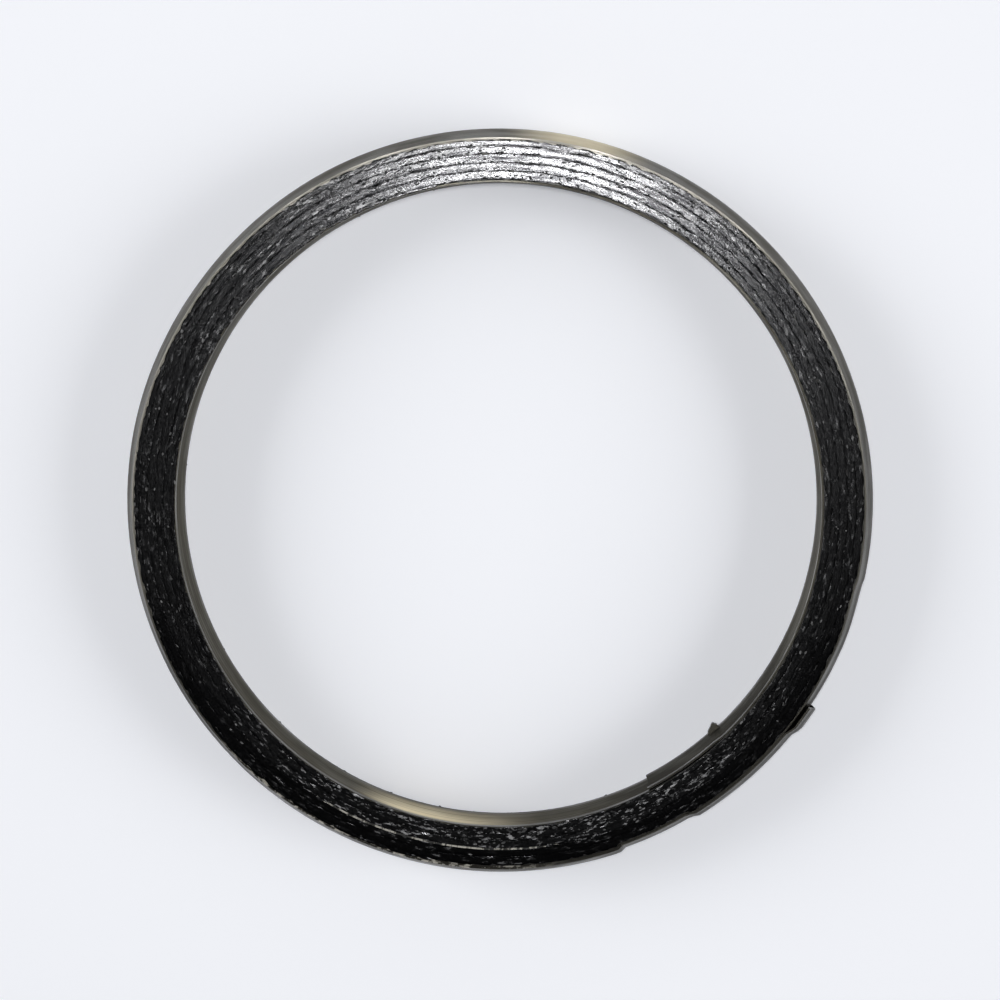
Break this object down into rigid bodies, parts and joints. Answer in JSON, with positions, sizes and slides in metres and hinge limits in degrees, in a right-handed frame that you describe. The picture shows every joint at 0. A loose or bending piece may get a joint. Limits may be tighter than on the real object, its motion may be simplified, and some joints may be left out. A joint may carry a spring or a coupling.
{
  "type": "exhaust gasket",
  "caption": "Flat spiral-wound ring gasket: V-folded steel strip and graphite tape wound together, sealing a pipe joint between two flanges.",
  "frame": {"origin": "centre of the ring, on the lower sealing face", "axes": "+Z along the ring's axis, out of the upper sealing face; +X and +Y in the plane of the ring, +X to the right and +Y up in the picture"},
  "size_m": [0.0761, 0.0761, 0.007],
  "materials": {
    "strip_steel": "dull rolled stainless strip with a warm grey cast and fine streaks along the turns",
    "graphite": "flaky flexible graphite, near black with silvery flecks and a broad sheen"
  },
  "bodies": {
    "root": {"winding_strip": "strip_steel", "graphite_filler": "graphite"}
  },
  "joints": []
}
